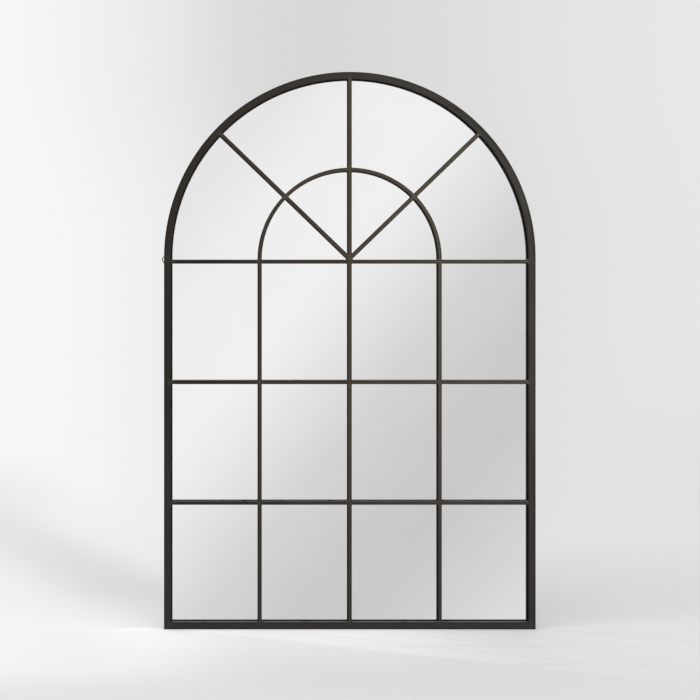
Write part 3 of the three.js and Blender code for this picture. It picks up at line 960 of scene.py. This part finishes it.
# %% Arched sheets
SIDE_STEPS = 12
GLASS = 4.0
SILVER_INSET = 2.65
BOARD_THICK = 4.0
GLASS_FRONT = BAR_BACK + TAPE
GLASS_BACK = GLASS_FRONT + GLASS
SILVER_DEPTH = GLASS_FRONT + SILVER_INSET
BOARD_BACK = GLASS_BACK + BOARD_THICK
GLASS_REACH = INSIDE - EDGE_GAP
BOARD_REACH = GLASS_REACH - 1.0


def arched_outline(radius, foot, inset):
    """Points round an arched sheet, from the right foot over the top to the left foot."""
    reach, low = radius - inset, foot + inset
    side = [at(reach, low + (SPRINGING - low) * k / SIDE_STEPS) for k in range(SIDE_STEPS)]
    turns = [heading(180 * k / ARCH_STEPS) for k in range(ARCH_STEPS + 1)]
    head = [at(0, SPRINGING) + out * reach for out in turns]
    return [*side, *head, *(at(-p.x, p.z) for p in reversed(side))]


def arched_sheet(radius, front, back, arris, first=0, sides=0, last=0):
    """A sheet with a softened edge. The finishes are those of its front, edge and back."""
    blank = Blank()
    levels = [(arris, front), (0.0, front + arris), (0.0, back - arris), (arris, back)]
    rings = []
    for inset, depth in levels:
        outline = arched_outline(radius, GLASS_FOOT, inset)
        rings.append(blank.add([p + DEEP * depth for p in outline]))
    blank.join(rings, first, sides, last)
    return blank


mirror = arched_sheet(GLASS_REACH, SILVER_DEPTH, GLASS_BACK, 0.4, first=0, sides=1, last=2)
make_piece("mirror_sheet", mirror, MIRROR_FINISHES, "mirror", ["mirror_glass"], crease=20)
board = arched_sheet(BOARD_REACH, GLASS_BACK, BOARD_BACK, 0.5)
make_piece("hardboard_back", board, [BOARD], "backing_board", ["backing_board"], crease=30)
print("mirror and board reach", round(GLASS_REACH, 1), "and", round(BOARD_REACH, 1), "mm")

# %% Setting blocks
BLOCK_EDGE = 0.5
BLOCK_DRAW = 0.94
for side in ("left", "right"):
    node = f"setting_block_{side}"
    low, high = span(node)
    heart = (low + high) / 2
    section = rounded_section(low.y, high.y, low.z, high.z, 0.4, steps=2, rest=0.2)
    near_ends = [(low.x + BLOCK_EDGE, 1.0), (high.x - BLOCK_EDGE, 1.0)]
    stations = []
    for x, size in [(low.x, BLOCK_DRAW), *near_ends, (high.x, BLOCK_DRAW)]:
        shaped = [
            (heart.y + (u - heart.y) * size, heart.z + (v - heart.z) * size, worn)
            for u, v, worn in section
        ]
        stations.append((shaped, RIGHT * x, DEEP, UP))
    block = Blank()
    block.sweep(stations)
    make_piece(f"rubber_block_{side}", block, [RUBBER], "rubber", [node])
print("setting blocks: 2")

# %% [markdown]
# ## Screws
#
# All fifteen screws have a pan head with a cross recess. The head is a turned shape, so
# its outline is spun round the axis. The recess is cut with a Boolean, which costs little
# because only two sizes are made: the rest are copies that are moved into place.

# %% A turned screw with a cross recess
SCREW_SIDES = 32
THREAD_PITCH = 0.9


def spin(blank, outline):
    """Turns (radius, height) points round the Y axis."""
    turns = [2 * math.pi * k / SCREW_SIDES for k in range(SCREW_SIDES)]
    rings = []
    for radius, height in outline:
        points = [(radius * math.cos(t), height, radius * math.sin(t)) for t in turns]
        rings.append(blank.add(points, [1.0 if height > 0 else 0.0] * SCREW_SIDES))
    blank.join(rings)


def screw_outline(shank, head, height, length):
    """From the tip, up a threaded shank, to the dome of a pan head."""
    points = [(0.15, -length), (shank * 0.8, -length + shank)]
    for k in range(int((length - shank - 1) / THREAD_PITCH)):
        base = -length + shank + k * THREAD_PITCH
        points += [(shank * 0.82, base + 0.1), (shank, base + 0.45), (shank * 0.82, base + 0.8)]
    points += [(shank * 0.9, -0.05), (head - 0.15, 0.0), (head, 0.15)]
    for degrees in range(0, 91, 15):
        turn = math.radians(degrees)
        radius = head * (0.55 + 0.45 * math.cos(turn))
        points.append((radius, height * (0.42 + 0.58 * math.sin(turn))))
    points.append((head * 0.2, height))
    return points


def cross_cutter(head, height):
    """A four-winged wedge that narrows downwards."""
    blank = Blank()
    corners = [(-1, -1), (1, -1), (1, 1), (-1, 1)]
    for turn in (0, 90):
        along, aside = heading(turn) * head * 0.56, heading(turn + 90) * head * 0.115
        rings = []
        for level, size in ((height - 1.3, 0.45), (height + 0.5, 1.1)):
            points = [(along * u + aside * v) * size + DEEP * level for u, v in corners]
            rings.append(blank.add(points))
        blank.join(rings)
    return blank


print("points round a screw:", SCREW_SIDES)

# %% Cut the recess once for each size


def plain_object(name, blank):
    """An object that only helps to make another one."""
    mesh = bpy.data.meshes.new(name)
    mesh.from_pydata(blank.points, [], blank.faces)
    face_outwards(mesh)
    return add_object(name, mesh)


def cut_screw(shank, head, height, length):
    """A screw in millimetres with its head's underside at 0 and its axis along Y."""
    turned = Blank()
    spin(turned, screw_outline(shank, head, height, length))
    body = plain_object("turned_screw", turned)
    cutter = plain_object("recess_cutter", cross_cutter(head, height))
    cut = body.modifiers.new("recess", "BOOLEAN")
    cut.operation = "DIFFERENCE"
    cut.object = cutter
    cut.solver = "EXACT"
    cut.use_self = True
    shaped = body.evaluated_get(bpy.context.evaluated_depsgraph_get()).to_mesh()
    blank = Blank()
    points = [tuple(v.co) for v in shaped.vertices]
    blank.add(points, [1.0 if p[1] > height * 0.3 else 0.0 for p in points])
    for polygon in shaped.polygons:
        blank.face(polygon.vertices)
    bpy.data.objects.remove(cutter)
    bpy.data.objects.remove(body)
    return blank


def moved(blank, place, turn=0.0):
    """A copy of a blank, turned round the depth axis and moved."""
    cosine, sine = math.cos(turn), math.sin(turn)
    points = [
        (x * cosine - z * sine + place.x, y + place.y, x * sine + z * cosine + place.z)
        for x, y, z in blank.points
    ]
    copy = Blank()
    copy.add(points, blank.worn)
    copy.faces, copy.finishes = blank.faces, blank.finishes
    return copy


CLIP_SCREW = cut_screw(shank=1.9, head=4.0, height=2.3, length=9.0)
HANGER_SCREW = cut_screw(shank=2.1, head=4.5, height=2.6, length=12.0)
print("screw faces:", len(CLIP_SCREW.faces), len(HANGER_SCREW.faces))

# %% [markdown]
# ## Clips
#
# Eleven offset clips hold the board: a foot under a screw on the tube, a step down, and a
# tongue on the board. Each is a strip of 1.2 mm plate with rounded ends and two soft
# bends. The strip's line is drawn from the side, and its width is given at each station.

# %% Strips with bends


def rounded_line(points, radius, steps=6):
    """(place, direction) along a line whose corners are turned at one radius."""
    line = [(points[0], (points[1] - points[0]).normalized())]
    for before, corner, after in zip(points, points[1:], points[2:]):
        a, b = (corner - before).normalized(), (after - corner).normalized()
        turn = a.angle(b)
        leg = min(radius * math.tan(turn / 2), (corner - before).length / 2.01)
        start, end = corner - a * leg, corner + b * leg
        for k in range(steps + 1):
            share = k / steps
            # A quadratic curve through the corner's two ends is close to the arc.
            place = start.lerp(corner, share).lerp(corner.lerp(end, share), share)
            line.append((place, a.lerp(b, share).normalized()))
    line.append((points[-1], (points[-1] - points[-2]).normalized()))
    return line


def with_places(line, step):
    """The same line with more stations on its long straights."""
    full = [line[0]]
    for (start, along), (end, following) in zip(line, line[1:]):
        count = max(1, math.ceil((end - start).length / step))
        full += [
            (start.lerp(end, k / count), along.lerp(following, k / count).normalized())
            for k in range(1, count + 1)
        ]
    return full


def strip(line, width, thick, side, end_radius):
    """A strip along a line, with rounded corners at its ends."""
    lengths = [0.0]
    for (start, _), (end, _) in zip(line, line[1:]):
        lengths.append(lengths[-1] + (end - start).length)
    stations = []
    for (place, along), run in zip(line, lengths):
        short = max(0.0, end_radius - min(run, lengths[-1] - run))
        half_width = width / 2 - end_radius + math.sqrt(end_radius**2 - short**2)
        section = rounded_section(
            -half_width, half_width, -thick / 2, thick / 2, 0.3, steps=2, rest=0.2
        )
        stations.append((section, place, side, along.cross(side)))
    blank = Blank()
    blank.sweep(stations)
    return blank


def fitting(name, blank, node, finish=ZINC, body="root", crease=40):
    """A small plated piece of the back."""
    make_piece(name, blank, [finish], "zinc_plate", [node], body, crease)


print("stations round one bend:", len(rounded_line([at(0, 0), at(9, 0), at(9, 9)], 2)))

# %% Clips and their screws
CLIP_WIDTH = 16.0
CLIP_THICK = 1.2
CLIP_FOOT = 8.0
CLIP_STEP = 3.0
CLIP_TIP = 32.0
CLIP_HEADINGS = {"left": 0.0, "right": math.pi, "bottom": math.pi / 2}
PAN_CREASE = 32


def clip_blank():
    """A clip along X, with its screw at 0."""
    high = CLEARANCE + CLIP_THICK / 2
    low = BOARD_BACK - BACK + high
    step_start = TUBE / 2 + 2 * CLEARANCE
    corners = [
        Vector((-CLIP_FOOT, high, 0)),
        Vector((step_start, high, 0)),
        Vector((step_start + CLIP_STEP, low, 0)),
        Vector((CLIP_TIP, low, 0)),
    ]
    line = rounded_line(corners, 1.6)
    # Stations close together at both ends draw the rounded corners.
    for inset in (0.05, 0.3, 0.8, 1.6, 2.6, 3.8, 5.0):
        line += [(corners[0] + RIGHT * inset, RIGHT), (corners[-1] - RIGHT * inset, RIGHT)]
    line.sort(key=lambda station: station[0].x)
    return strip(line, CLIP_WIDTH, CLIP_THICK, UP, end_radius=5.0)


clip_shape = clip_blank()
plates = sorted(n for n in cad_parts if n.startswith("clip_") and "screw" not in n)
for number, plate in enumerate(plates):
    name = plate.removeprefix("clip_")
    screw_middle = middle(f"clip_screw_{name}")
    foot = Vector((screw_middle.x, BACK, screw_middle.z))
    towards_middle = math.atan2(SPRINGING - foot.z, -foot.x)
    turn = CLIP_HEADINGS.get(name.split("_")[0], towards_middle)
    fitting(f"clip_plate_{name}", moved(clip_shape, foot, turn), plate)
    seat = foot + DEEP * (2 * CLEARANCE + CLIP_THICK)
    screw = moved(CLIP_SCREW, seat, 0.7 * number)
    fitting(f"clip_pan_screw_{name}", screw, f"clip_screw_{name}", crease=PAN_CREASE)
print("clips:", len(plates))

# %% [markdown]
# ## Hangers
#
# On each stile a strap is folded double round the straight side of a D-ring and screwed
# down. As one long strip it can be bent as the maker bends it: up, over the ring's wire
# and down again. The ring is round wire, and it is the only piece that moves: it rides on
# its own body, and swings about the middle of its straight side.

# %% Strap
STRAP_WIDTH = 19.0
STRAP_THICK = 1.5
STRAP_LENGTH = 60.0
STRAP_NECK = 10.0
STRAP_LAP = 30.0
LEAVES_APART = 0.04
WIRE_RADIUS = 1.5
PIVOT_OFF = 2 * STRAP_THICK + CLEARANCE + WIRE_RADIUS
CURL_RADIUS = WIRE_RADIUS + CLEARANCE + STRAP_THICK / 2


def strap_blank():
    """The strap with the pivot at height 0, and its back at depth 0."""
    near, far = STRAP_THICK / 2, STRAP_THICK * 1.5 + LEAVES_APART

    def spot(depth, height):
        return Vector((0, depth, height))

    insets = [0.0, 0.05, 0.3, 0.9, 1.8, 3.0, 4.4, 6.0]
    line = [(spot(near, inset - STRAP_LENGTH), UP) for inset in insets]
    rising = [spot(near, -STRAP_LAP), spot(near, -STRAP_NECK), spot(PIVOT_OFF - CURL_RADIUS, 0)]
    line += rounded_line(rising, 8)[1:-1]
    for degrees in range(170, -50, -10):
        turn = math.radians(degrees)
        out = spot(math.cos(turn), math.sin(turn))
        along = spot(math.sin(turn), -math.cos(turn))
        line.append((spot(PIVOT_OFF, 0) + out * CURL_RADIUS, along))
    falling = [line[-1][0], spot(far, -STRAP_NECK), spot(far, -STRAP_LAP)]
    line += rounded_line(falling, 5)[1:-1]
    line += [(spot(far, inset - STRAP_LENGTH), -UP) for inset in reversed(insets)]
    return strip(with_places(line, 6), STRAP_WIDTH, STRAP_THICK, RIGHT, end_radius=6.0)


strap_shape = strap_blank()
print("strap faces:", len(strap_shape.faces))

# %% Ring
RING_HALF = 18.5
RING_CORNER = 6.0
RING_SPLIT = 0.15
CURVE_STEPS = 48


def ring_blank():
    """The ring with its pivot at height 0: a D of round wire, split in its straight side."""
    reach = RING_HALF - RING_CORNER
    path = [(at(RING_SPLIT, 0), heading(0)), (at(reach, 0), heading(0))]
    # A centre, a radius and headings for each bend: a corner, the half circle, a corner.
    bends = [(reach, RING_CORNER, [90 - 10 * k for k in range(1, 10)])]
    bends.append((0, RING_HALF, [-180 * k / CURVE_STEPS for k in range(1, CURVE_STEPS)]))
    bends.append((-reach, RING_CORNER, [90 + 10 * k for k in range(9, -1, -1)]))
    for centre, radius, turns in bends:
        for turn in turns:
            place = at(centre, -RING_CORNER) + heading(turn) * radius
            path.append((place, heading(turn - 90)))
    path.append((at(-RING_SPLIT, 0), heading(0)))
    wire = round_section(WIRE_RADIUS, 20)
    blank = Blank()
    blank.sweep([(wire, place, along.cross(DEEP), DEEP) for place, along in path])
    return blank


ring_shape = ring_blank()
print("ring faces:", len(ring_shape.faces))

# %% Both hangers
PIVOT_RISE = 2.8
SCREW_DROPS = [33.0, 50.0]
for side, name in ((-1, "left"), (1, "right")):
    plate = Vector((side * TUBE_MIDDLE, BACK + CLEARANCE, SPRINGING + PIVOT_RISE))
    fitting(f"strap_{name}", moved(strap_shape, plate), f"hanger_strap_{name}")
    ring = moved(ring_shape, plate + DEEP * PIVOT_OFF)
    fitting(f"ring_{name}", ring, f"d_ring_{name}", RING_ZINC_PAINTED_SHADE, body=f"{name}_ring")
    for number, drop in enumerate(SCREW_DROPS, 1):
        seat = plate + DEEP * (2 * STRAP_THICK + CLEARANCE) - UP * drop
        screw = moved(HANGER_SCREW, seat, 0.5 * number + side)
        node = f"hanger_screw_{name}_{number}"
        fitting(f"strap_screw_{name}_{number}", screw, node, crease=PAN_CREASE)
print("hangers: 2 straps, 2 rings, 4 screws")

# %% [markdown]
# ## The room
#
# The mirror stands in a plain pale studio. The floor is a pale sheet that fades out far
# behind the mirror, so no horizon shows, and it keeps the mirror's shadow. The mirror also
# throws light down onto the floor, barred by the grid's shadow. A path tracer needs very
# many samples for that, so the pattern is worked out here: each point of the floor is
# traced back along the light to the place on the mirror that it came from. The floor hides
# itself from reflections, because the mirror should show the studio.

# %% Light that the mirror throws on the floor
THROWN_RIGHT = 1.24
THROWN_FORWARD = 0.51
MIRROR_REACH = 0.58


def thrown_light(x, y):
    """1 where the mirror lights the floor, less where a bar is in the way."""
    up = y * (-1 / THROWN_FORWARD)
    across = x - THROWN_RIGHT * up
    blur = 0.012 + 0.03 * up
    inside = fade(MIRROR_REACH + 0.04 - abs(across), 0.0, 0.08)
    inside = inside * fade(up, 0.0, 0.03) * (1 - fade(up, 0.5, 1.6))
    bars = 1
    for value, places in ((across, COLUMN_PLACES), (up, ROW_HEIGHTS)):
        for place in places:
            bars = bars * fade(abs(value - place * MILLIMETRE) / blur, 0.2, 1.6)
    return inside * (0.4 + 0.6 * bars)


print("light falls", THROWN_FORWARD, "m forward for each metre of height")

# %% Floor
FLOOR_REACH = 9.0
FLOOR_SIDES = 64


def floor_light(x, y):
    """The light that the mirror throws, and a brighter pool close to its foot."""
    near = fade(-y, -0.02, 0.01) * (1 - fade(-y, 0.0, 0.62))
    near = near * (1 - fade(x, 0.0, 0.55)) * fade(x, -0.95, -0.5)
    thrown = thrown_light(x, y) * (1 - 0.5 * fade(x, 0.3, 0.9))
    return 0.17 * near + 0.06 * thrown


def floor_finish():
    material, place = start_finish("studio_floor")
    x, y, _ = apart(place)
    drift = 0.3 * (cloud(stretched(place, 0.6, 1.2, 1), 1.5, detail=1) - 0.5)
    # Painted light: the floor is lighter to the left, towards the soft box, than to the right.
    right = mix(fade(y, 0.3, 1.6), tone(226), tone(229))
    left = mix(fade(-y, 0.4, 0.75), tone(239), tone(226))
    colour = mix(fade(x + drift, -0.75, -0.25), left, right)
    # Painted shade: a soft shadow lies to the left, behind the foot of the mirror.
    painted_shade = (1 - fade(abs(x + 0.5 * y + 0.5), 0.02, 0.42)) * fade(y, 0.05, 0.6)
    colour = mix(painted_shade * 0.6, colour, tone(214))
    shader = place.node(
        "ShaderNodeBsdfPrincipled",
        None,
        {
            "Base Color": colour,
            "Roughness": 1.0,
            "Specular IOR Level": 0.0,
            "Emission Color": mix(floor_light(x, y), tone(0), tone(255)),
            "Emission Strength": 1.0,
        },
    )
    clear = place.node("ShaderNodeBsdfTransparent")
    ray = place.node("ShaderNodeLightPath", output="Is Glossy Ray")
    distance = place.node(
        "ShaderNodeVectorMath",
        {"operation": "LENGTH"},
        {0: stretched(place, 0.6, 1, 0)},
        output=1,
    )
    gone = place.maths("MAXIMUM", ray, fade(distance, 0.9, 3.4))
    both = place.node("ShaderNodeMixShader", None, {0: gone, 1: shader, 2: clear})
    place.node("ShaderNodeOutputMaterial", None, {"Surface": both})
    return material


floor_mesh = bpy.data.meshes.new("studio_floor")
rim = [heading(360 * k / FLOOR_SIDES) * FLOOR_REACH for k in range(FLOOR_SIDES)]
floor_mesh.from_pydata([(p.x, p.z, 0) for p in rim], [], [tuple(range(len(rim)))])
floor_mesh.materials.append(floor_finish())
floor = add_object("studio_floor", floor_mesh)
print("floor reaches", FLOOR_REACH, "m")

# %% [markdown]
# ## The world
#
# The world does three jobs, and Light Path keeps them apart. Seen directly it is the pale
# backdrop: darker from left to right and light again, with a soft shade low at the left. To
# a matt surface it is plain even light. To the mirror and the steel it is the studio in
# front of them: pale, with one darker diagonal band, which is what the glass shows. The
# band lies along one slanted direction, so a single ramp over it is enough.

# %% World light
DIAGONAL = (0.78, -0.625)
# Places along the diagonal, and the colour on the screen there.
REFLECTED = [
    (-0.6, (190, 190, 190)), (-0.19, (222, 222, 222)), (-0.036, (230, 230, 230)),
    (0.0085, (238, 238, 238)), (0.0755, (240, 240, 240)), (0.1, (234.5, 234.5, 234.5)),
    (0.128, (226, 226, 226)), (0.169, (213.5, 212, 213)), (0.222, (204.5, 202.5, 203.5)),
    (0.259, (201.5, 199.5, 200.5)), (0.301, (208.5, 206.5, 207.5)), (0.366, (221, 221, 221)),
    (0.6, (228, 228, 228)), (0.95, (200, 200, 200)),
]
# Places from left to right, and the grey on the screen there.
BACKDROP = [
    (-0.16, 247), (-0.13, 245), (-0.075, 240), (-0.02, 232), (0.034, 220), (0.081, 215.5),
    (0.12, 216), (0.175, 220), (0.238, 224), (0.3, 228), (0.39, 231.5),
]
SILVER_LOSS = 0.915
SLANT_START = 0.0086


def ramp(value, stops):
    """A colour ramp over any range. A stop is its place and its screen colour."""
    low, high = stops[0][0], stops[-1][0]
    scaled = [((place - low) / (high - low), colour) for place, colour in stops]
    share = (value - low) / (high - low)
    return share.node("ShaderNodeValToRGB", {"stops": scaled}, {"Fac": share})


def studio_front(x, z, ahead):
    """What the glass shows. The silver dims it, so its tones are written brighter."""
    slant = (x * DIAGONAL[0] + z * DIAGONAL[1]) / ahead + SLANT_START
    glass_tones = [
        (place, tuple(min(1, v / SILVER_LOSS) for v in tone(*colour)))
        for place, colour in REFLECTED
    ]
    front = mix(fade(abs(x), 0.42, 0.8), ramp(slant, glass_tones), tone(70))
    return mix(fade(z, 0.3, 0.8), front, (1.8, 1.8, 1.8, 1))


def pale_backdrop(x, z, ahead):
    """The wall behind the mirror."""
    lower = fade(z, 0.184, 0.034)
    wall = ramp(x / ahead - 0.035 * lower, [(place, tone(v)) for place, v in BACKDROP])
    # Painted shade: darker low on the right, beside the mirror's foot.
    wall = mix(fade(x, 0.22, 0.4) * fade(z, 0.0, -0.15), wall, tone(225))
    # Painted shade: a soft shadow low at the left.
    painted_shade = fade(x / ahead, -0.07, -0.15) * fade(z / ahead, -0.115, -0.17)
    return mix(painted_shade * 0.7, wall, tone(229))


def studio_world():
    world = bpy.data.worlds.new("studio")
    bpy.context.scene.world = world
    world.use_nodes = True
    world.node_tree.nodes.clear()
    sheet = Wire(world.node_tree)
    x, y, z = apart(sheet.node("ShaderNodeTexCoord", output="Generated"))
    ahead = sheet.maths("MAXIMUM", abs(y), 0.6)
    rays = sheet.node("ShaderNodeLightPath")
    camera, glossy, through = (
        Wire(sheet.tree, rays.socket.node.outputs[name])
        for name in ("Is Camera Ray", "Is Glossy Ray", "Is Transmission Ray")
    )
    colour = mix(camera, tone(250), pale_backdrop(x, z, ahead))
    mirrored = sheet.maths("MAXIMUM", glossy, through)
    colour = mix(mirrored, colour, studio_front(x, z, ahead))
    light = sheet.node("ShaderNodeBackground", None, {"Color": colour, "Strength": 1.0})
    sheet.node("ShaderNodeOutputWorld", None, {"Surface": light})


studio_world()
print("tones in the glass:", len(REFLECTED))

# %% Lamp and camera
lamp_data = bpy.data.lights.new("soft_box", "AREA")
lamp_data.shape = "RECTANGLE"
lamp_data.size = 1.4
lamp_data.size_y = 1.2
lamp_data.energy = 26
lamp = add_object("soft_box", lamp_data)
lamp.location = (-3.1, -1.28, 3.4)
towards_mirror = Vector((0, 0, 0.9)) - lamp.location
lamp.rotation_euler = towards_mirror.to_track_quat("-Z", "Y").to_euler()

# The camera stands left of the middle, a little above half the mirror's height.
camera_data = bpy.data.cameras.new("photograph")
camera_data.lens = 65.67
camera_data.sensor_width = 36
camera_data.shift_x = 0.22
camera_data.shift_y = -0.08
camera = add_object("photograph", camera_data)
camera.location = (-0.5047, -4.2, 1.1)
camera.rotation_euler = (math.radians(90), 0, 0)
bpy.context.scene.camera = camera
bpy.context.scene.view_settings.view_transform = "Standard"
print("camera is", round(-camera.location.y, 2), "m in front of the mirror")
